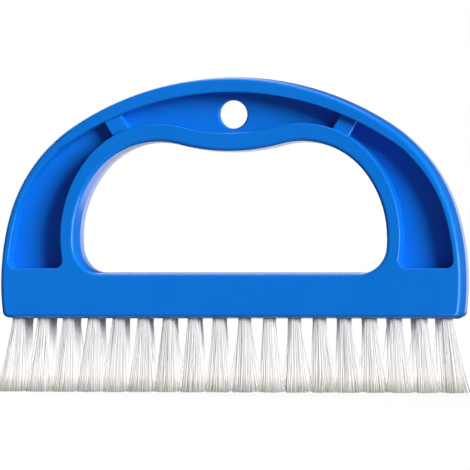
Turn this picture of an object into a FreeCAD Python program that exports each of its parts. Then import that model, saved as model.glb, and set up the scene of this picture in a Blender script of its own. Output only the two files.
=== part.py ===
import FreeCAD, Part
import Sketcher
import math
import os

# Hand-held grout brush: a one-piece moulded handle and block with a hand opening, two rows of nylon
# tufts folded into blind holes, and a flat wire anchor that holds each fold.
# Millimetres and degrees. The bristle tips stand on Z = 0, X runs along the brush and -Y is the front.

doc = FreeCAD.newDocument("grout_brush")
sizes = doc.addObject("Spreadsheet::Sheet", "Sizes")

DIMENSIONS = [
    # outline of the moulding at its parting line
    ("body_length", 160.0),
    ("body_height", 82.1),
    ("body_thickness", 18.0),
    ("widest_height", 12.6),
    ("side_radius", 84.4),
    ("side_turn", 15.1),
    ("top_turn", 56.8),
    ("end_corner_radius", 2.5),
    ("draft_angle", 3.0),
    ("edge_round", 1.4),
    # hand opening: what is left of the moulding below it, beside it and above its finger valleys
    ("bar_height", 15.7),
    ("limb_width", 26.4),
    ("grip_depth", 22.3),
    ("opening_widest", 12.0),
    ("opening_lower_radius", 38.0),
    ("opening_turn", 37.5),
    ("opening_corner_radius", 9.0),
    ("valley_offset", 24.8),
    ("grip_swell", 3.3),
    # hollow on each face, between the outer rim and the flange round the opening
    ("rim_side", 2.9),
    ("rim_top", 5.3),
    ("flange_side", 5.2),
    ("flange_grip", 6.4),
    ("hollow_sill", 1.4),
    ("hollow_corner_radius", 2.7),
    ("hollow_draft", 2.0),
    ("hollow_round", 0.5),
    ("web_thickness", 3.0),
    # ribs that split each hollow into three pockets
    ("rib_angle", 31.0),
    ("rib_width", 6.3),
    ("rib_recess", 2.5),
    # hole for hanging the brush up
    ("hang_radius", 4.8),
    ("hang_drop", 12.7),
    ("hang_chamfer", 0.6),
    # bristle tufts: as many at the pitch as the block's length takes, fanned out to a gap at the tips
    ("bristle_trim", 25.1),
    ("row_end_margin", 6.0),
    ("tuft_pitch", 8.7),
    ("back_row_closer", 0.24),
    ("back_row_shift", 1.3),
    ("row_spacing", 9.0),
    ("lean_at_ends", 6.2),
    ("tip_gap", 0.1),
    ("lock_count", 6),
    ("lock_groove", 1.3),
    ("tuft_twist", 137.5),
    ("hole_radius", 2.25),
    ("hole_depth", 10.5),
    ("tuft_clearance", 0.05),
    # flat wire anchors, which bite into the wall at both sides of the hole
    ("anchor_bite", 0.55),
    ("anchor_height", 2.0),
    ("anchor_thickness", 0.5),
    ("anchor_clearance", 0.03),
    ("fold_depth", 2.0),
    # overshoot of cutting tools past the surface that they open
    ("tool_margin", 2.0),
]
for row, (name, value) in enumerate(DIMENSIONS, start=1):
    sizes.set("A%d" % row, name)
    sizes.set("B%d" % row, str(value))
    sizes.setAlias("B%d" % row, name)
doc.recompute()


def size(name):
    return float(sizes.get(name))


def named(name):
    """A size as a number and as the expression that ties it to the sheet."""
    return size(name), "Sizes." + name


def bind(thing, **expressions):
    """Ties properties to the sheet; a double underscore stands for a dot in the property's path."""
    for path, expression in expressions.items():
        thing.setExpression(path.replace("__", "."), expression)


def solve_pair(a11, a12, b1, a21, a22, b2):
    det = a11 * a22 - a12 * a21
    return (b1 * a22 - a12 * b2) / det, (a11 * b2 - a21 * b1) / det


def sine(degrees):
    return math.sin(math.radians(degrees))


def cosine(degrees):
    return math.cos(math.radians(degrees))


def point(x, z):
    return FreeCAD.Vector(x, z, 0)


def mirrored(p):
    return point(-p.x, p.y)


def touch(centre, radius, toward):
    """The point of a circle that lies on the ray from its centre toward another point."""
    ray = toward - centre
    return centre + ray * (radius / ray.Length)


# Drawing the outlines. A stroke is (geometry, first end, last end), walked counter-clockwise round the
# outline, and every stroke runs tangent into the next one.


def draw_arc(sketch, centre, first, last, bulges_out=True):
    circle = Part.Circle(centre, FreeCAD.Vector(0, 0, 1), (first - centre).Length)
    start, end = (first, last) if bulges_out else (last, first)
    turn = [math.atan2(p.y - centre.y, p.x - centre.x) for p in (start, end)]
    arc = sketch.addGeometry(Part.ArcOfCircle(circle, turn[0], turn[1]), False)
    return (arc, 1, 2) if bulges_out else (arc, 2, 1)


def draw_line(sketch, first, last, construction=False):
    return (sketch.addGeometry(Part.LineSegment(first, last), construction), 1, 2)


def join_tangent(sketch, strokes):
    for stroke, following in zip(strokes, strokes[1:] + strokes[:1]):
        sketch.addConstraint(Sketcher.Constraint("Tangent", stroke[0], stroke[2], following[0], following[1]))


def dimension(sketch, expression, *constraint):
    index = sketch.addConstraint(Sketcher.Constraint(*constraint))
    sketch.setExpression("Constraints[%d]" % index, expression)


def equal_pair(sketch, right, left):
    sketch.addConstraint(Sketcher.Constraint("Equal", right[0], left[0]))


def radius_of(sketch, stroke, value, expression):
    dimension(sketch, expression, "Radius", stroke[0], value)


def passes_through(sketch, stroke, p, x_expression, z_expression):
    """Holds an arc to a dimensioned point."""
    mark = sketch.addGeometry(Part.Point(p), True)
    if x_expression:
        dimension(sketch, x_expression, "DistanceX", mark, 1, p.x)
    else:
        sketch.addConstraint(Sketcher.Constraint("PointOnObject", mark, 1, -2))
    dimension(sketch, z_expression, "DistanceY", mark, 1, p.y)
    sketch.addConstraint(Sketcher.Constraint("PointOnObject", mark, 1, stroke[0]))


def ends_at_turn(sketch, stroke, centre, last, degrees, expression):
    """Ends an arc where it has turned through an angle from its widest point."""
    spoke = draw_line(sketch, centre, last, construction=True)
    sketch.addConstraint(Sketcher.Constraint("Coincident", spoke[0], 1, stroke[0], 3))
    sketch.addConstraint(Sketcher.Constraint("Coincident", spoke[0], 2, stroke[0], 2))
    dimension(sketch, expression, "Angle", spoke[0], math.radians(degrees))


def mirror_centres(sketch, right, left):
    sketch.addConstraint(Sketcher.Constraint("Symmetric", right[0], 3, left[0], 3, -2))


# Heights shared by the outlines, each as a number and as the expression that ties it to the sheet.
underside = size("bristle_trim")
widest_z = underside + size("widest_height")
crest_z = underside + size("body_height")
sill_z = underside + size("bar_height")
WIDEST = "Sizes.bristle_trim + Sizes.widest_height"
CREST = "Sizes.bristle_trim + Sizes.body_height"
SILL = "Sizes.bristle_trim + Sizes.bar_height"
OPENING_WIDEST = SILL + " + Sizes.opening_widest"
OPENING_TOP = CREST + " - Sizes.grip_depth"
OPENING_SIDE = "Sizes.body_length / 2 - Sizes.limb_width"


NO_INSET = (0.0, "0")


class Arch:
    """Five tangent arcs: sides that bulge at the widest height, shoulders, and a shallow crown."""

    def __init__(self, side=NO_INSET, top=NO_INSET):
        a, b = size("side_turn"), size("top_turn")
        self.insets = (side[1], top[1])
        self.half = size("body_length") / 2 - side[0]
        self.side_radius = size("side_radius") - side[0]
        self.top = crest_z - top[0]
        self.shoulder, self.crown_radius = solve_pair(
            cosine(a) - cosine(b), cosine(b), self.half - self.side_radius * (1 - cosine(a)),
            sine(b) - sine(a), 1 - sine(b), self.top - widest_z - self.side_radius * sine(a))
        self.side_centre = point(self.half - self.side_radius, widest_z)
        self.side_end = self.side_centre + point(cosine(a), sine(a)) * self.side_radius
        self.shoulder_centre = self.side_end - point(cosine(a), sine(a)) * self.shoulder
        self.shoulder_end = self.shoulder_centre + point(cosine(b), sine(b)) * self.shoulder
        self.crown_centre = point(0, self.top - self.crown_radius)

    def draw(self, sketch, right_start):
        side = draw_arc(sketch, self.side_centre, right_start, self.side_end)
        shoulder = draw_arc(sketch, self.shoulder_centre, self.side_end, self.shoulder_end)
        crown = draw_arc(sketch, self.crown_centre, self.shoulder_end, mirrored(self.shoulder_end))
        left_shoulder = draw_arc(sketch, mirrored(self.shoulder_centre),
                                 mirrored(self.shoulder_end), mirrored(self.side_end))
        left_side = draw_arc(sketch, mirrored(self.side_centre), mirrored(self.side_end), mirrored(right_start))
        return [side, shoulder, crown, left_shoulder, left_side]

    def hold(self, sketch, strokes):
        side, shoulder, crown, left_shoulder, left_side = strokes
        less_side, less_top = (" - " + inset for inset in self.insets)
        equal_pair(sketch, side, left_side)
        equal_pair(sketch, shoulder, left_shoulder)
        mirror_centres(sketch, side, left_side)
        sketch.addConstraint(Sketcher.Constraint("PointOnObject", crown[0], 3, -2))
        dimension(sketch, WIDEST, "DistanceY", side[0], 3, widest_z)
        passes_through(sketch, side, point(self.half, widest_z), "Sizes.body_length / 2" + less_side, WIDEST)
        passes_through(sketch, crown, point(0, self.top), None, CREST + less_top)
        radius_of(sketch, side, self.side_radius, "Sizes.side_radius" + less_side)
        ends_at_turn(sketch, side, self.side_centre, self.side_end, size("side_turn"), "Sizes.side_turn")
        ends_at_turn(sketch, shoulder, self.shoulder_centre, self.shoulder_end,
                     size("top_turn"), "Sizes.top_turn")


class Grip:
    """Seven tangent arcs: sides below and above the widest height, upper corners that rise to the finger
    valleys, and the swell between them."""

    def __init__(self, side=NO_INSET, above=NO_INSET):
        a = size("opening_turn")
        self.flanges = (side[1], above[1])
        self.half = size("body_length") / 2 - size("limb_width") + side[0]
        self.widest = sill_z + size("opening_widest")
        self.lower_radius = size("opening_lower_radius") + side[0]
        self.lower_centre = point(self.half - self.lower_radius, self.widest)
        self.valley = point(size("valley_offset"), crest_z - size("grip_depth") + above[0])
        self.swell_z = self.valley.y - size("grip_swell")
        self.side_radius, self.corner_radius = solve_pair(
            1 - cosine(a), cosine(a), self.half - self.valley.x,
            sine(a), 1 - sine(a), self.valley.y - self.widest)
        self.side_centre = point(self.half - self.side_radius, self.widest)
        self.side_end = self.side_centre + point(cosine(a), sine(a)) * self.side_radius
        self.corner_centre = self.valley - point(0, self.corner_radius)
        swell_radius = (self.valley.x ** 2 / (2 * size("grip_swell"))
                        - self.corner_radius + size("grip_swell") / 2)
        self.swell_centre = point(0, self.swell_z + swell_radius)
        self.corner_end = touch(self.corner_centre, self.corner_radius, self.swell_centre)

    def draw(self, sketch, right_foot, inward):
        """Walks up the right side and down the left, or the other way round where it is an inner edge."""
        widest_point = point(self.half, self.widest)
        rise = [(self.lower_centre, right_foot, widest_point), (self.side_centre, widest_point, self.side_end),
                (self.corner_centre, self.side_end, self.corner_end)]
        fall = [(mirrored(c), mirrored(last), mirrored(first)) for c, first, last in reversed(rise)]
        arcs = rise + [(self.swell_centre, self.corner_end, mirrored(self.corner_end))] + fall
        if inward:
            arcs = [(c, last, first) for c, first, last in arcs]
        return [draw_arc(sketch, c, first, last, (c is self.swell_centre) == inward) for c, first, last in arcs]

    def hold(self, sketch, strokes):
        lower, side, corner, swell, left_corner, left_side, left_lower = strokes
        more_side, more_grip = (" + " + flange for flange in self.flanges)
        equal_pair(sketch, lower, left_lower)
        equal_pair(sketch, side, left_side)
        equal_pair(sketch, corner, left_corner)
        mirror_centres(sketch, side, left_side)
        sketch.addConstraint(Sketcher.Constraint("PointOnObject", swell[0], 3, -2))
        sketch.addConstraint(Sketcher.Constraint("Horizontal", lower[0], 3, left_lower[0], 3))
        radius_of(sketch, lower, self.lower_radius, "Sizes.opening_lower_radius" + more_side)
        dimension(sketch, OPENING_SIDE + more_side, "DistanceX", side[0], 1, self.half)
        dimension(sketch, OPENING_WIDEST, "DistanceY", side[0], 1, self.widest)
        dimension(sketch, OPENING_WIDEST, "DistanceY", side[0], 3, self.widest)
        dimension(sketch, "Sizes.valley_offset", "DistanceX", corner[0], 3, self.valley.x)
        passes_through(sketch, corner, self.valley, "Sizes.valley_offset", OPENING_TOP + more_grip)
        passes_through(sketch, swell, point(0, self.swell_z), None, OPENING_TOP + more_grip + " - Sizes.grip_swell")
        ends_at_turn(sketch, side, self.side_centre, self.side_end, size("opening_turn"), "Sizes.opening_turn")


def corner_centre(arc_centre, arc_radius, corner_radius, floor_z, outside=False):
    """Centre of a rounded corner between a level line and the inside or the outside of a side arc."""
    reach = arc_radius + corner_radius if outside else arc_radius - corner_radius
    rise = floor_z + corner_radius - arc_centre.y
    return point(arc_centre.x + math.sqrt(reach ** 2 - rise ** 2), floor_z + corner_radius)


def sketch_on_midplane(body, name):
    plane = [f for f in body.Origin.OriginFeatures if f.Role == "XZ_Plane"][0]
    sketch = body.newObject("Sketcher::SketchObject", name)
    sketch.AttachmentSupport = [(plane, "")]
    sketch.MapMode = "FlatFace"
    return sketch


# Moulding: the outline padded to both sides of the parting line, narrower by the draft.
frame = doc.addObject("PartDesign::Body", "frame_form")
outline = sketch_on_midplane(frame, "outline")

arch = Arch()
end_radius = size("end_corner_radius")
end_centre = corner_centre(arch.side_centre, arch.side_radius, end_radius, underside)
end_top = touch(arch.side_centre, arch.side_radius, end_centre)
end_foot = point(end_centre.x, underside)
base_line = draw_line(outline, mirrored(end_foot), end_foot)
right_end = draw_arc(outline, end_centre, end_foot, end_top)
arch_strokes = arch.draw(outline, end_top)
left_end = draw_arc(outline, mirrored(end_centre), mirrored(end_top), mirrored(end_foot))
join_tangent(outline, [base_line, right_end] + arch_strokes + [left_end])
outline.addConstraint(Sketcher.Constraint("Horizontal", base_line[0]))
dimension(outline, "Sizes.bristle_trim", "DistanceY", base_line[0], 1, underside)
radius_of(outline, right_end, end_radius, "Sizes.end_corner_radius")
equal_pair(outline, right_end, left_end)
arch.hold(outline, arch_strokes)

pad = frame.newObject("PartDesign::Pad", "moulding")
pad.Profile = outline
pad.SideType = "Two sides"
bind(pad, Length="Sizes.body_thickness / 2", Length2="Sizes.body_thickness / 2",
     TaperAngle="-Sizes.draft_angle", TaperAngle2="-Sizes.draft_angle")
doc.recompute()

# Hand opening, which widens from the parting line to both faces by the same draft.
opening = sketch_on_midplane(frame, "opening")
grip = Grip()
sill_radius = size("opening_corner_radius")
sill_centre = corner_centre(grip.lower_centre, grip.lower_radius, sill_radius, sill_z)
sill_top = touch(grip.lower_centre, grip.lower_radius, sill_centre)
sill_foot = point(sill_centre.x, sill_z)
sill_line = draw_line(opening, mirrored(sill_foot), sill_foot)
right_sill = draw_arc(opening, sill_centre, sill_foot, sill_top)
grip_strokes = grip.draw(opening, sill_top, inward=False)
left_sill = draw_arc(opening, mirrored(sill_centre), mirrored(sill_top), mirrored(sill_foot))
join_tangent(opening, [sill_line, right_sill] + grip_strokes + [left_sill])
opening.addConstraint(Sketcher.Constraint("Horizontal", sill_line[0]))
dimension(opening, SILL, "DistanceY", sill_line[0], 1, sill_z)
radius_of(opening, right_sill, sill_radius, "Sizes.opening_corner_radius")
equal_pair(opening, right_sill, left_sill)
grip.hold(opening, grip_strokes)

hand_hole = frame.newObject("PartDesign::Pocket", "hand_hole")
hand_hole.Profile = opening
hand_hole.SideType = "Two sides"
bind(hand_hole, Length="Sizes.body_thickness / 2 + Sizes.tool_margin",
     Length2="Sizes.body_thickness / 2 + Sizes.tool_margin",
     TaperAngle="Sizes.draft_angle", TaperAngle2="Sizes.draft_angle")
doc.recompute()


def edges_at_depth(shape, depth):
    """Names of the edges that lie wholly at one depth in front of or behind the parting line."""
    names = []
    for number, edge in enumerate(shape.Edges, start=1):
        box = edge.BoundBox
        if abs(abs(box.YMin) - depth) < 1e-3 and abs(abs(box.YMax) - depth) < 1e-3:
            names.append("Edge%d" % number)
    return names


rounded = frame.newObject("PartDesign::Fillet", "rounded_edges")
rounded.Base = (hand_hole, edges_at_depth(hand_hole.Shape, size("body_thickness") / 2))
bind(rounded, Radius="Sizes.edge_round")
doc.recompute()

# Hollow between rim and flange: its mouth on the front face and its floor on the web, narrower by the draft.
hollow = doc.addObject("PartDesign::Body", "hollow_form")
HOLLOW_FLOOR = SILL + " + Sizes.hollow_sill"
DRAFT_RUN = "((Sizes.body_thickness - Sizes.web_thickness) / 2 * tan(Sizes.hollow_draft))"
draft_run = (size("body_thickness") - size("web_thickness")) / 2 * math.tan(math.radians(size("hollow_draft")))


def draw_hollow(name, depth, run):
    """One outline of the hollow, drawn in from rim, flange and sill by a run of the draft."""
    def grown(size_name):
        value, expression = named(size_name)
        return value + run[0], "(%s + %s)" % (expression, run[1])

    sketch = sketch_on_midplane(hollow, name)
    bind(sketch, AttachmentOffset__Base__z=depth)
    outer = Arch(grown("rim_side"), grown("rim_top"))
    inner = Grip(grown("flange_side"), grown("flange_grip"))
    floor_z = sill_z + size("hollow_sill") + run[0]
    radius = size("hollow_corner_radius") - run[0]
    outer_corner = corner_centre(outer.side_centre, outer.side_radius, radius, floor_z)
    inner_corner = corner_centre(inner.lower_centre, inner.lower_radius, radius, floor_z, outside=True)
    outer_touch = touch(outer.side_centre, outer.side_radius, outer_corner)
    inner_touch = touch(inner.lower_centre, inner.lower_radius, inner_corner)
    outer_foot = point(outer_corner.x, floor_z)
    inner_foot = point(inner_corner.x, floor_z)

    outer_strokes = outer.draw(sketch, outer_touch)
    left_outer = draw_arc(sketch, mirrored(outer_corner), mirrored(outer_touch), mirrored(outer_foot))
    left_floor = draw_line(sketch, mirrored(outer_foot), mirrored(inner_foot))
    left_inner = draw_arc(sketch, mirrored(inner_corner), mirrored(inner_foot), mirrored(inner_touch))
    inner_strokes = inner.draw(sketch, inner_touch, inward=True)
    right_inner = draw_arc(sketch, inner_corner, inner_touch, inner_foot)
    right_floor = draw_line(sketch, inner_foot, outer_foot)
    right_outer = draw_arc(sketch, outer_corner, outer_foot, outer_touch)
    join_tangent(sketch, outer_strokes + [left_outer, left_floor, left_inner]
                 + inner_strokes[::-1] + [right_inner, right_floor, right_outer])
    for floor in (left_floor, right_floor):
        sketch.addConstraint(Sketcher.Constraint("Horizontal", floor[0]))
        dimension(sketch, HOLLOW_FLOOR + " + " + run[1], "DistanceY", floor[0], 1, floor_z)
    radius_of(sketch, right_outer, radius, "Sizes.hollow_corner_radius - " + run[1])
    for corner in (right_inner, left_outer, left_inner):
        equal_pair(sketch, right_outer, corner)
    outer.hold(sketch, outer_strokes)
    inner.hold(sketch, inner_strokes)
    return sketch


hollow_mouth = draw_hollow("hollow_mouth", "Sizes.body_thickness / 2", NO_INSET)
hollow_floor = draw_hollow("hollow_floor", "Sizes.web_thickness / 2", (draft_run, DRAFT_RUN))
doc.recompute()
sink = hollow.newObject("PartDesign::AdditiveLoft", "sunk_hollow")
sink.Profile = hollow_mouth
sink.Sections = [hollow_floor]
sink.Ruled = True
doc.recompute()


def upright_box(name, length, width, height):
    box = doc.addObject("Part::Box", name)
    bind(box, Length=length, Width=width, Height=height)
    return box


def lean(thing, angle, base):
    """Tilts a form about Y and sets its base point, all from the sheet."""
    thing.Placement = FreeCAD.Placement(FreeCAD.Vector(), FreeCAD.Rotation(FreeCAD.Vector(0, 1, 0), 1))
    bind(thing, Placement__Rotation__Angle=angle, Placement__Base__x=base[0],
         Placement__Base__y=base[1], Placement__Base__z=base[2])


def round_edges(thing, name, numbers):
    """Rounds the numbered edges of a form by the small radius of the hollow's edges."""
    radius = size("hollow_round")
    softer = doc.addObject("Part::Fillet", name)
    softer.Base = thing
    softer.Edges = [(number, radius, radius) for number in numbers]
    return softer


# Ribs with rounded edges are left standing in the hollow, below the level of the rim.
rib_top = size("rib_recess") - size("body_thickness") / 2
ribs = []
for side, sign in (("left", "-"), ("right", "")):
    rib = upright_box("rib_" + side, "Sizes.rib_width", "Sizes.body_thickness / 2 - Sizes.rib_recess",
                      "Sizes.body_length")
    angle = sign + "Sizes.rib_angle"
    lean(rib, angle, ("-Sizes.rib_width / 2 * cos(%s)" % angle,
                      "Sizes.rib_recess - Sizes.body_thickness / 2",
                      "Sizes.bristle_trim + Sizes.rib_width / 2 * sin(%s)" % angle))
    doc.recompute()
    top_edges = [number for number, edge in enumerate(rib.Shape.Edges, start=1)
                 if edge.Length > size("rib_width") and all(abs(v.Y - rib_top) < 1e-6 for v in edge.Vertexes)]
    ribs.append(round_edges(rib, "rounded_rib_" + side, top_edges))
rib_pair = doc.addObject("Part::MultiFuse", "rib_pair")
rib_pair.Shapes = ribs
front_pockets = doc.addObject("Part::Cut", "front_pockets")
front_pockets.Base = hollow
front_pockets.Tool = rib_pair
back_pockets = doc.addObject("Part::Mirroring", "back_pockets")
back_pockets.Source = front_pockets
back_pockets.Normal = FreeCAD.Vector(0, 1, 0)

# Hanging hole through the web, with a small chamfer at each mouth.
hang_bore = doc.addObject("Part::Cylinder", "hang_bore")
bind(hang_bore, Radius="Sizes.hang_radius", Height="Sizes.body_thickness")
hang_mouths = []
for side, sign in (("front", ""), ("back", "-")):
    mouth = doc.addObject("Part::Cone", "hang_mouth_" + side)
    bind(mouth, Radius1="Sizes.hang_radius + 2 * Sizes.hang_chamfer", Radius2="Sizes.hang_radius",
         Height="2 * Sizes.hang_chamfer")
    mouth.Placement.Rotation = FreeCAD.Rotation(FreeCAD.Vector(1, 0, 0), -90 if side == "front" else 90)
    bind(mouth, Placement__Base__y=sign + "(-Sizes.web_thickness / 2 - Sizes.hang_chamfer)",
         Placement__Base__z=CREST + " - Sizes.hang_drop")
    hang_mouths.append(mouth)
hang_bore.Placement.Rotation = FreeCAD.Rotation(FreeCAD.Vector(1, 0, 0), -90)
bind(hang_bore, Placement__Base__y="-Sizes.body_thickness / 2", Placement__Base__z=CREST + " - Sizes.hang_drop")

# Bristle tufts: each folded root sits in a leaning blind hole, fans out in locks and is trimmed level. Both
# rows have as many tufts as the front row's length takes; the back row is set a little closer and aside.
count = 1 + int((size("body_length") - 2 * size("row_end_margin")) / size("tuft_pitch"))
trim_slab = upright_box("trim_slab", "2 * Sizes.body_length", "2 * Sizes.body_thickness", "2 * Sizes.tool_margin")
bind(trim_slab, Placement__Base__x="-Sizes.body_length", Placement__Base__y="-Sizes.body_thickness",
     Placement__Base__z="-2 * Sizes.tool_margin")
doc.recompute()

BACK_PITCH = "(Sizes.tuft_pitch - Sizes.back_row_closer)"
ROOT_RADIUS = "(Sizes.hole_radius - Sizes.tuft_clearance)"
TIP_RADIUS = "((min(%s; Sizes.row_spacing) - Sizes.tip_gap) / 2)" % BACK_PITCH
ANCHOR_HALF = "(Sizes.hole_radius + Sizes.anchor_bite)"
ANCHOR_FOOT = "(Sizes.hole_depth - Sizes.fold_depth - Sizes.anchor_height)"


FAN_LENGTH = "(Sizes.bristle_trim + Sizes.tool_margin)"
FAN_RADIUS = "(%s + (%s - %s) * %s / Sizes.bristle_trim)" % (ROOT_RADIUS, TIP_RADIUS, ROOT_RADIUS, FAN_LENGTH)
LOCK_STEP = "(360 / floor(Sizes.lock_count))"
GROOVE_SHARE = "(1 - Sizes.lock_groove / %s)" % TIP_RADIUS
LOCK_PLACE = "((1 - %s ^ 2) / 2 / (1 - %s * cos(%s / 2)))" % (GROOVE_SHARE, GROOVE_SHARE, LOCK_STEP)

root_radius = size("hole_radius") - size("tuft_clearance")
tip_radius = (min(size("tuft_pitch") - size("back_row_closer"), size("row_spacing")) - size("tip_gap")) / 2
fan_radius = root_radius + (tip_radius - root_radius) * (1 + size("tool_margin") / size("bristle_trim"))
lock_step = 360 / int(size("lock_count"))
groove_share = 1 - size("lock_groove") / tip_radius
lock_place = (1 - groove_share ** 2) / 2 / (1 - groove_share * cosine(lock_step / 2))


def draw_locks(body, name, reach, reach_expression, depth):
    """Section across the locks of a tuft: one arc for each, which meet in the grooves."""
    plane = [f for f in body.Origin.OriginFeatures if f.Role == "XY_Plane"][0]
    sketch = body.newObject("Sketcher::SketchObject", name)
    sketch.AttachmentSupport = [(plane, "")]
    sketch.MapMode = "FlatFace"
    bind(sketch, AttachmentOffset__Base__z=depth)
    locks = []
    for lock in range(int(size("lock_count"))):
        middle = lock * lock_step
        centre, first, last = (point(cosine(angle), sine(angle)) * (reach * share) for angle, share in (
            (middle, lock_place), (middle - lock_step / 2, groove_share), (middle + lock_step / 2, groove_share)))
        arc = draw_arc(sketch, centre, first, last)
        dimension(sketch, "%s * %s * cos(%d * %s)" % (reach_expression, LOCK_PLACE, lock, LOCK_STEP),
                  "DistanceX", arc[0], 3, centre.x)
        dimension(sketch, "%s * %s * sin(%d * %s)" % (reach_expression, LOCK_PLACE, lock, LOCK_STEP),
                  "DistanceY", arc[0], 3, centre.y)
        locks.append(arc)
    radius_of(sketch, locks[0], reach * (1 - lock_place), "%s * (1 - %s)" % (reach_expression, LOCK_PLACE))
    for lock, following in zip(locks, locks[1:] + locks[:1]):
        sketch.addConstraint(Sketcher.Constraint("Coincident", lock[0], 2, following[0], 1))
    for lock in locks[1:]:
        equal_pair(sketch, locks[0], lock)
    return sketch


# One bundle, upright at the origin: its locks spread from the block's underside, its root goes up into the hole.
fan = doc.addObject("PartDesign::Body", "fan")
locks_at_block = draw_locks(fan, "locks_at_block", root_radius, ROOT_RADIUS, "0")
locks_at_tips = draw_locks(fan, "locks_at_tips", fan_radius, FAN_RADIUS, "-" + FAN_LENGTH)
doc.recompute()
spread = fan.newObject("PartDesign::AdditiveLoft", "spread")
spread.Profile = locks_at_tips
spread.Sections = [locks_at_block]
spread.Ruled = True
root = doc.addObject("Part::Cylinder", "root")
bind(root, Radius=ROOT_RADIUS, Height="Sizes.hole_depth - Sizes.tuft_clearance")
upright_bundle = doc.addObject("Part::MultiFuse", "upright_bundle")
upright_bundle.Shapes = [root, fan]
doc.recompute()


def along(station, row, angle, side_step, up_step):
    """Base point reached from a tuft's root by steps across and along its leaning axis."""
    return ("%s + (%s) * cos(%s) + (%s) * sin(%s)" % (station, side_step, angle, up_step, angle),
            row,
            "Sizes.bristle_trim - (%s) * sin(%s) + (%s) * cos(%s)" % (side_step, angle, up_step, angle))


def anchor_box(name, station, row, angle, clearance):
    box = upright_box(name, "2 * (%s + %s)" % (ANCHOR_HALF, clearance), "Sizes.anchor_thickness + 2 * " + clearance,
                      "Sizes.anchor_height + 2 * " + clearance)
    x, y, z = along(station, row, angle, "-%s - %s" % (ANCHOR_HALF, clearance), ANCHOR_FOOT + " - " + clearance)
    lean(box, angle, (x, "%s - Sizes.anchor_thickness / 2 - %s" % (y, clearance), z))
    return box


tufts = []
anchors = {"front": [], "back": []}
tuft_cuts = []
for side, row, pitch, shift in (("front", "-Sizes.row_spacing / 2", "Sizes.tuft_pitch", ""),
                                ("back", "Sizes.row_spacing / 2", BACK_PITCH, " - Sizes.back_row_shift")):
    for number in range(1, count + 1):
        tag = "%s_%02d" % (side, number)
        offset = number - (count + 1) / 2
        station = "%.1f * %s%s" % (offset, pitch, shift)
        angle = "(Sizes.lean_at_ends * %.1f / %.1f)" % (-offset, (count - 1) / 2)

        hole = doc.addObject("Part::Cylinder", "hole_" + tag)
        bind(hole, Radius="Sizes.hole_radius", Height="Sizes.hole_depth + Sizes.tool_margin")
        lean(hole, angle, along(station, row, angle, "0", "-Sizes.tool_margin"))
        groove = anchor_box("groove_" + tag, station, row, angle, "Sizes.anchor_clearance")
        tuft_cuts += [hole, groove]

        turned = doc.addObject("Part::Compound", "turned_" + tag)
        turned.Links = [upright_bundle]
        bind(turned, Placement__Rotation__Angle="mod(Sizes.tuft_twist * %d; 360)" % len(tufts))
        bundle = doc.addObject("Part::Compound", "bundle_" + tag)
        bundle.Links = [turned]
        lean(bundle, angle, along(station, row, angle, "0", "0"))
        waste = doc.addObject("Part::MultiFuse", "waste_" + tag)
        waste.Shapes = [trim_slab, groove]
        tuft = doc.addObject("Part::Cut", "tuft_" + tag)
        tuft.Label = "tuft_" + tag
        tuft.Base = bundle
        tuft.Tool = waste
        tufts.append(tuft)

        anchors[side].append(anchor_box("anchor_" + tag, station, row, angle, "0"))

anchor_rows = []
for side, boxes in anchors.items():
    group = doc.addObject("Part::Compound", side + "_row_anchors")
    group.Label = side + "_row_anchors"
    group.Links = boxes
    anchor_rows.append(group)

# The finished moulding: pockets with softened edges, then the hanging hole, tuft holes and anchor grooves.
pocket_pair = doc.addObject("Part::MultiFuse", "pocket_pair")
pocket_pair.Shapes = [front_pockets, back_pockets]
pocketed = doc.addObject("Part::Cut", "pocketed")
pocketed.Base = frame
pocketed.Tool = pocket_pair
doc.recompute()


def flat_faces(shape, depth):
    """Faces square to Y at one depth in front of and behind the parting line."""
    found = []
    for face in shape.Faces:
        box = face.BoundBox
        if box.YLength < 1e-6 and abs(abs(box.YMin) - depth) < 1e-3:
            found.append(face)
    return found


def edge_numbers(shape, edges):
    wanted = {edge.hashCode() for edge in edges}
    return [n for n, edge in enumerate(shape.Edges, start=1) if edge.hashCode() in wanted]


soft_edges = []
for face in flat_faces(pocketed.Shape, size("body_thickness") / 2):
    rim_to_opening = sorted(face.Wires, key=lambda wire: wire.BoundBox.XLength)
    soft_edges += rim_to_opening[1].Edges
softened = round_edges(pocketed, "softened", edge_numbers(pocketed.Shape, soft_edges))

drills = doc.addObject("Part::MultiFuse", "drills")
drills.Shapes = [hang_bore] + hang_mouths + tuft_cuts
body = doc.addObject("Part::Cut", "brush_body")
body.Label = "brush_body"
body.Base = softened
body.Tool = drills
doc.recompute()

# Nothing is written unless every feature rebuilt and every piece is a sound solid.
for thing in doc.Objects:
    bad = [state for state in thing.State if state in ("Invalid", "Error")]
    if bad:
        raise RuntimeError("%s failed to rebuild: %s" % (thing.Name, bad))
pieces = [body] + tufts + anchor_rows
for piece in pieces:
    if piece.Shape.isNull() or not piece.Shape.isValid() or not piece.Shape.Solids:
        raise RuntimeError("%s has no sound shape" % piece.Label)
if not body.Shape.Volume < softened.Shape.Volume < frame.Shape.Volume:
    raise RuntimeError("the pockets or the holes cut nothing")

os.makedirs("parts", exist_ok=True)
for piece in pieces:
    piece.Shape.exportStep("parts/%s.step" % piece.Label)
    print("%-22s %2d solids %10.1f mm3" % (piece.Label, len(piece.Shape.Solids), piece.Shape.Volume))
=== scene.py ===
import math

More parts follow.
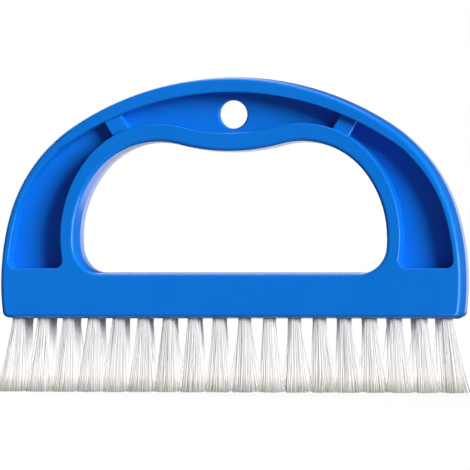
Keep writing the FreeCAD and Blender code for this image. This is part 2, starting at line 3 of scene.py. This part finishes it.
import bpy
import numpy as np
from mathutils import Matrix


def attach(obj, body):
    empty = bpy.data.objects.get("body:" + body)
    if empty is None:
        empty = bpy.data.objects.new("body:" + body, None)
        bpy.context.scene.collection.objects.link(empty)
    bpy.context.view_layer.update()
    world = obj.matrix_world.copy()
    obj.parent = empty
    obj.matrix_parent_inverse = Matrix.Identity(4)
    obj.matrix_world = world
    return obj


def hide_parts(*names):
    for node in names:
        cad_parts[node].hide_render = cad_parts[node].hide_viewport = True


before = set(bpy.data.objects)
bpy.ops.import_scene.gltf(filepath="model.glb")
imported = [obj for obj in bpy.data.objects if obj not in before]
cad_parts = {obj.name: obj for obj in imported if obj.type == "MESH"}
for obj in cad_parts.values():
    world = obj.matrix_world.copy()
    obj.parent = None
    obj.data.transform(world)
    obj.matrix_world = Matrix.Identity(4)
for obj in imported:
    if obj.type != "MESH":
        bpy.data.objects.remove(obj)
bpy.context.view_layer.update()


# Handle and bristle block: one piece of blue polypropylene, injection moulded in a two-part mould, so a
# faint parting line runs round the middle of its walls. The faces are a satin finish straight from the
# polished tool, with slight clouding of the pigment.

class Wire:
    """A shader socket: arithmetic on it adds Math nodes, and node() adds any other node to its tree."""

    def __init__(self, tree, socket=None):
        self.tree = tree
        self.socket = socket

    def node(self, kind, settings=None, inputs=None, out=0):
        made = self.tree.nodes.new("ShaderNode" + kind)
        for name, value in (settings or {}).items():
            setattr(made, name, value)
        for name, value in (inputs or {}).items():
            if isinstance(value, Wire):
                self.tree.links.new(value.socket, made.inputs[name])
            else:
                made.inputs[name].default_value = value
        return Wire(self.tree, made.outputs[out] if made.outputs else None)

    def math(self, operation, first, second):
        return self.node("Math", {"operation": operation}, {0: first, 1: second})

    def tint(self, share, first, second):
        """A colour between two others: sockets 6 and 7 of a Mix node are its colours, output 2 their mix."""
        return self.node("Mix", {"data_type": "RGBA"}, {0: share, 6: first, 7: second}, 2)

    def __add__(self, other):
        return self.math("ADD", self, other)

    __radd__ = __add__

    def __sub__(self, other):
        return self.math("SUBTRACT", self, other)

    def __rsub__(self, other):
        return self.math("SUBTRACT", other, self)

    def __mul__(self, other):
        return self.math("MULTIPLY", self, other)

    __rmul__ = __mul__

    def __lt__(self, other):
        return self.math("LESS_THAN", self, other)


def paint(red, green, blue):
    """The linear colour of an everyday 0 to 255 one."""
    def linear(part):
        part /= 255
        return part / 12.92 if part <= 0.04045 else ((part + 0.055) / 1.055) ** 2.4
    return (linear(red), linear(green), linear(blue), 1.0)


def new_finish(name):
    """An empty material and the wire to start its nodes from."""
    material = bpy.data.materials.new(name)
    material.use_nodes = True
    material.node_tree.nodes.clear()
    return material, Wire(material.node_tree)


def coat_node(node, material):
    """Puts a finish on every slot of a CAD piece."""
    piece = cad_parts[node]
    for slot in piece.material_slots:
        slot.material = material


DEEP_BLUE = paint(4, 111, 212)
LIGHT_BLUE = paint(14, 121, 222)
PARTING_HALF_WIDTH = 0.00012

moulded_blue, start = new_finish("blue_satin_polypropylene")
place = start.node("TexCoord", out="Object")
clouds = start.node("TexNoise", {}, {
    "Vector": place, "Scale": 55.0, "Detail": 3.0, "Roughness": 0.6}, "Fac")
skin = start.node("TexNoise", {}, {
    "Vector": place, "Scale": 1500.0, "Detail": 2.0, "Roughness": 0.5}, "Fac")
from_middle = start.node("SeparateXYZ", {}, {"Vector": place}, "Y")
parting = from_middle * from_middle < PARTING_HALF_WIDTH ** 2
pigment = start.tint(clouds, DEEP_BLUE, LIGHT_BLUE)
relief = start.node("Bump", {}, {
    "Strength": 0.12, "Distance": 0.0002, "Height": skin * 0.35 + parting}, "Normal")
shader = start.node("BsdfPrincipled", {}, {
    "Base Color": pigment, "Roughness": 0.12 + clouds * 0.05 + skin * 0.04, "Normal": relief,
    "IOR": 1.49, "Specular IOR Level": 0.6}, "BSDF")
start.node("OutputMaterial", {}, {"Surface": shader})
coat_node("brush_body", moulded_blue)


# Anchors: short lengths of flat galvanised wire, driven across each folded tuft so that their ends bite
# into the sides of the hole. They stay hidden in the block.

BRIGHT_ZINC = paint(186, 190, 194)
DULL_ZINC = paint(150, 155, 160)

flat_wire, start = new_finish("galvanised_flat_wire")
place = start.node("TexCoord", out="Object")
spangle = start.node("TexVoronoi", {}, {"Vector": place, "Scale": 1800.0}, "Distance")
drawn = start.node("TexNoise", {}, {"Vector": place, "Scale": 2600.0, "Detail": 2.0}, "Fac")
zinc = start.tint(spangle, BRIGHT_ZINC, DULL_ZINC)
relief = start.node("Bump", {}, {"Strength": 0.1, "Distance": 0.00005, "Height": drawn}, "Normal")
shader = start.node("BsdfPrincipled", {}, {
    "Base Color": zinc, "Roughness": 0.3 + drawn * 0.2, "Metallic": 1.0, "Normal": relief}, "BSDF")
start.node("OutputMaterial", {}, {"Surface": shader})
for row in ("front", "back"):
    coat_node(row + "_row_anchors", flat_wire)


# Bristle tufts: bundles of stiff white nylon filaments, folded double into the block's blind holes. They
# part into locks, fan out to the tips, where the whole brush is trimmed level, and lean outwards at the ends.

TRIM = 0.0251
PITCH = 0.0087
ROW_OFFSET = 0.0045
LEAN_AT_ENDS = math.radians(6.2)
BACK_ROW_CLOSER = 0.00024
BACK_ROW_SHIFT = 0.0013
TUFTS_PER_ROW = 18
TUFT_TWIST = math.radians(137.5)

ROOT_DEPTH = 0.004
ROOT_RADIUS = 0.00205
TIP_RADIUS = 0.0043
FAN_CURVE = 1.15
SPLAY = (0.92, 1.02)
LOCKS = 6
LOCK_ARC = 2 * math.pi / LOCKS
LOCK_GROOVE = 0.0013
LOCK_DRIFT = 0.00022

FILAMENTS = 170
FILAMENT_TURN = math.radians(137.508)
FILAMENT_SIDES = 5
FILAMENT_RINGS = 4
FILAMENT_RADIUS = 0.00018
FILAMENT_THICKNESSES = (0.9, 1.08)
FILAMENT_DRIFT = 0.0002
FILAMENT_BOW = 0.00014
STRAY_SHARE = 0.1
STRAY_SPREAD = (0.0019, 0.0008)
TIP_CLEARANCE = 0.00005
TIP_UNEVENNESS = 0.00045

CLEAR_WHITE = paint(215, 214, 215)
DULL_WHITE = paint(205, 204, 204)
TIP_WARM_WHITE = paint(223, 218, 211)
TIP_WARM_LENGTH = 0.011

nylon, start = new_finish("white_nylon_filament")
place = start.node("TexCoord", out="Object")
height = start.node("SeparateXYZ", {}, {"Vector": place}, "Z")
shade = start.node("Attribute", {"attribute_name": "shade"}, {}, "Fac")
# the filaments' colour turns warmer and a little lighter over the last 11 mm towards the trimmed tips
near_tip = start.node("MapRange", {"interpolation_type": "SMOOTHSTEP"},
                      {0: height, 1: 0.0, 2: TIP_WARM_LENGTH, 3: 1.0, 4: 0.0})
cool = start.tint(shade, CLEAR_WHITE, DULL_WHITE)
tip_warmed = start.tint(near_tip * (0.3 + shade * 0.5), cool, TIP_WARM_WHITE)
grain = start.node("TexNoise", {}, {"Vector": place, "Scale": 2200.0, "Detail": 1.0}, "Fac")
shader = start.node("BsdfPrincipled", {}, {
    "Base Color": tip_warmed, "Roughness": 0.3 + grain * 0.2, "IOR": 1.53, "Specular IOR Level": 0.3}, "BSDF")
start.node("OutputMaterial", {}, {"Surface": shader})

# one filament, tip at z = 0 and root at z = 1, with rings along it so that it can bow
bpy.ops.object.select_all(action="DESELECT")
bpy.ops.mesh.primitive_cylinder_add(vertices=FILAMENT_SIDES, radius=1.0, depth=1.0, location=(0, 0, 0.5))
filament = bpy.context.object
bpy.ops.object.transform_apply(location=True, rotation=False, scale=False)
bpy.ops.object.mode_set(mode="EDIT")
bpy.ops.mesh.select_mode(type="EDGE")
bpy.ops.mesh.select_all(action="DESELECT")
bpy.ops.object.mode_set(mode="OBJECT")
corners = filament.data.vertices
for edge in filament.data.edges:
    edge.select = abs(corners[edge.vertices[0]].co.z - corners[edge.vertices[1]].co.z) > 0.5
bpy.ops.object.mode_set(mode="EDIT")
bpy.ops.mesh.subdivide(number_cuts=FILAMENT_RINGS)
bpy.ops.object.mode_set(mode="OBJECT")
one_filament = np.array([v.co for v in filament.data.vertices])
one_faces = [list(p.vertices) for p in filament.data.polygons]
bpy.data.objects.remove(filament)

chance = np.random.default_rng(41)


def lobed(turn):
    """How far the outline of the locks reaches at an angle, as a share of the tuft's radius."""
    off_lock = (turn + LOCK_ARC / 2) % LOCK_ARC - LOCK_ARC / 2
    groove = 1 - LOCK_GROOVE / TIP_RADIUS
    lock = (1 - groove ** 2) / 2 / (1 - groove * math.cos(LOCK_ARC / 2))
    return lock * np.cos(off_lock) + np.sqrt((1 - lock) ** 2 - (lock * np.sin(off_lock)) ** 2)


def make_tuft(name, node, root_x, root_y, lean, twist):
    """A bundle of filaments in the hole of one CAD tuft, parted into locks to the tips."""
    splay = chance.uniform(*SPLAY)
    number = np.arange(FILAMENTS)
    turn = number * FILAMENT_TURN
    reach = np.sqrt((number + 0.5) / FILAMENTS) * lobed(turn)
    section = reach[:, None] * np.stack([np.cos(turn + twist), np.sin(turn + twist)], 1)
    lock = np.floor(turn / LOCK_ARC + 0.5).astype(int) % LOCKS
    drift = chance.normal(0, LOCK_DRIFT, (LOCKS, 2))[lock]
    drift += chance.normal(0, FILAMENT_DRIFT, (FILAMENTS, 2))
    stray = chance.random(FILAMENTS) < STRAY_SHARE
    drift[stray] += chance.normal(0, 1, (stray.sum(), 2)) * STRAY_SPREAD
    bow = chance.normal(0, FILAMENT_BOW, (FILAMENTS, 2))
    tip_z = TIP_CLEARANCE + chance.uniform(0, TIP_UNEVENNESS, FILAMENTS)
    width = FILAMENT_RADIUS * chance.uniform(*FILAMENT_THICKNESSES, FILAMENTS)

    z = tip_z[:, None] + one_filament[None, :, 2] * (TRIM + ROOT_DEPTH - tip_z[:, None])
    fall = np.clip((TRIM - z) / TRIM, 0, 1)[..., None]
    opened = fall ** FAN_CURVE
    across = section[:, None, :] * (ROOT_RADIUS + (TIP_RADIUS * splay - ROOT_RADIUS) * opened)
    across += drift[:, None, :] * opened
    across += bow[:, None, :] * 4 * fall * (1 - fall)
    across += one_filament[None, :, :2] * width[:, None, None]
    x = root_x + (TRIM - z) * math.tan(lean) + across[..., 0]
    y = root_y + across[..., 1]
    points = np.stack([x, y, z], -1)
    faces = [[v + k * len(one_filament) for v in face] for k in range(FILAMENTS) for face in one_faces]
    mesh = bpy.data.meshes.new(name)
    mesh.from_pydata(points.reshape(-1, 3).tolist(), [], faces)
    mesh.polygons.foreach_set("use_smooth", [len(face) == 4 for face in faces])
    tone = np.repeat(chance.beta(1.6, 2.6, FILAMENTS), len(one_filament)).astype(np.float32)
    mesh.attributes.new("shade", "FLOAT", "POINT").data.foreach_set("value", tone)
    mesh.materials.append(nylon)
    tuft = bpy.data.objects.new(name, mesh)
    tuft.visible_shadow = False  # thin clear nylon passes the light on to the filaments behind it
    bpy.context.collection.objects.link(tuft)
    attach(tuft, "root")
    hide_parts(node)


tufts_made = 0
for row, y, pitch, shift in (("front", -ROW_OFFSET, PITCH, 0.0),
                             ("back", ROW_OFFSET, PITCH - BACK_ROW_CLOSER, -BACK_ROW_SHIFT)):
    for number in range(1, TUFTS_PER_ROW + 1):
        offset = number - (TUFTS_PER_ROW + 1) / 2
        lean = LEAN_AT_ENDS * offset / ((TUFTS_PER_ROW - 1) / 2)
        make_tuft("bristles_%s_%02d" % (row, number), "tuft_%s_%02d" % (row, number),
                  offset * pitch + shift, y, lean, TUFT_TWIST * tufts_made)
        tufts_made += 1


# Studio: a pale matt floor under a surround that the camera sees as white, lit by a broad soft key from the
# right, a weak overhead light, a rim light from behind and a low fill. Reflections show a white sheet behind
# the brush and a soft window in place of the key, and the rest of the surround dim.

FLOOR_PALE = paint(126, 126, 125)
FLOOR_DEEP = paint(122, 122, 122)
FLOOR_MIRRORED = paint(54, 54, 54)
FLOOR_GLOW = 0.77
FILL = 0.045
SURROUND_MIRRORED = 0.04
BACKDROP_AIM = (-0.05, 0.997, -0.06)
BACKDROP_EDGE = (0.970, 0.984)
WINDOW_AIM = (0.80, -0.56, -0.17)
WINDOW_EDGE = (0.91, 0.95)
WINDOW_GLOW = 5.5
BRUSH_MIDDLE = (0.0, 0.0, 0.05)


def ray_masks(start):
    """Masks of the rays that see the white outright and of those that mirror the surround."""
    outputs = start.node("LightPath").socket.node.outputs
    camera, glossy, clear = [Wire(start.tree, outputs[name])
                             for name in ("Is Camera Ray", "Is Glossy Ray", "Is Transmission Ray")]
    return start.math("MAXIMUM", camera, clear), glossy


def patch(start, outward, aim, edge):
    """How far an outward direction lies in a soft-edged patch of the surround, from 0 to 1."""
    near = start.node("VectorMath", {"operation": "DOT_PRODUCT"}, {0: outward, 1: aim}, "Value")
    return start.node("MapRange", {"interpolation_type": "SMOOTHSTEP"},
                      {0: near, 1: edge[0], 2: edge[1], 3: 0.0, 4: 1.0})


white_floor, start = new_finish("pale_matt_floor")
direct, mirror = ray_masks(start)
place = start.node("TexCoord", out="Object")
paper = start.node("TexNoise", {}, {"Vector": place, "Scale": 30.0, "Detail": 3.0}, "Fac")
tone = start.tint(paper, FLOOR_DEEP, FLOOR_PALE)
outward = start.node("VectorMath", {"operation": "SUBTRACT"}, {0: place, 1: BRUSH_MIDDLE}, "Vector")
outward = start.node("VectorMath", {"operation": "NORMALIZE"}, {0: outward}, "Vector")
sheet = patch(start, outward, BACKDROP_AIM, BACKDROP_EDGE)
window = patch(start, outward, WINDOW_AIM, WINDOW_EDGE)
shown = direct + (1 - direct) * mirror * (sheet + window * WINDOW_GLOW)
dimmed = start.tint(mirror * (1 - sheet), tone, FLOOR_MIRRORED)
matt = start.node("BsdfDiffuse", {}, {"Color": dimmed})
glow = start.node("Emission", {}, {"Color": (1, 1, 1, 1), "Strength": shown * FLOOR_GLOW})
start.node("OutputMaterial", {}, {"Surface": start.node("AddShader", {}, {0: matt, 1: glow})})

bpy.ops.object.select_all(action="DESELECT")
bpy.ops.mesh.primitive_plane_add(size=12.0, location=(0, 0, 0))
floor = bpy.context.object
floor.name = "floor"
floor.data.materials.append(white_floor)

world = bpy.data.worlds.new("studio")
world.use_nodes = True
world.node_tree.nodes.clear()
start = Wire(world.node_tree)
direct, mirror = ray_masks(start)
outward = start.node("TexCoord", out="Generated")
sheet = patch(start, outward, BACKDROP_AIM, BACKDROP_EDGE)
window = patch(start, outward, WINDOW_AIM, WINDOW_EDGE)
mirrored = start.math("MAXIMUM", sheet, SURROUND_MIRRORED) + window * WINDOW_GLOW
strength = direct + (1 - direct) * (mirror * mirrored + (1 - mirror) * FILL)
surround = start.node("Background", {}, {"Color": (1, 1, 1, 1), "Strength": strength})
start.node("OutputWorld", {}, {"Surface": surround})
bpy.context.scene.world = world


def soft_sun(name, location, tilt, turn, spread, energy):
    """A sun lamp with a wide disc, tilted from straight down and turned about the vertical, in degrees."""
    bpy.ops.object.light_add(type="SUN", location=location)
    lamp = bpy.context.object
    lamp.name = name
    lamp.rotation_euler = (math.radians(tilt), 0, math.radians(turn))
    lamp.data.angle = math.radians(spread)
    lamp.data.energy = energy
    return lamp


key = soft_sun("key", (1.0, -0.8, 0.5), tilt=72, turn=55, spread=30, energy=4.8)
key.visible_glossy = False  # reflections show the window instead of its hard disc
soft_sun("overhead", (0.0, 0.0, 1.0), tilt=-3, turn=0, spread=45, energy=0.8)
soft_sun("rim", (-0.6, 0.6, 0.5), tilt=60, turn=-135, spread=70, energy=2.5)


# Camera: level and far off with a long lens, turned a little to the right of the brush's front, so that the
# inner walls of the opening's left side and the outer wall of the right end just show.

YAW = math.radians(11.0)
ROLL = math.radians(0.06)
DISTANCE = 2.17
FRAME_WIDTH = 0.1599
SENSOR = 36.0
AIM = (0.00031, 0.0, 0.05351)

camera_x = AIM[0] + math.sin(YAW) * DISTANCE
camera_y = AIM[1] - math.cos(YAW) * DISTANCE
bpy.ops.object.camera_add(location=(camera_x, camera_y, AIM[2]), rotation=(math.radians(90), ROLL, YAW))
camera = bpy.context.object
camera.data.sensor_width = SENSOR
camera.data.lens = SENSOR * DISTANCE / FRAME_WIDTH
camera.data.clip_end = 50.0
bpy.context.scene.camera = camera
bpy.context.scene.view_settings.view_transform = "Standard"
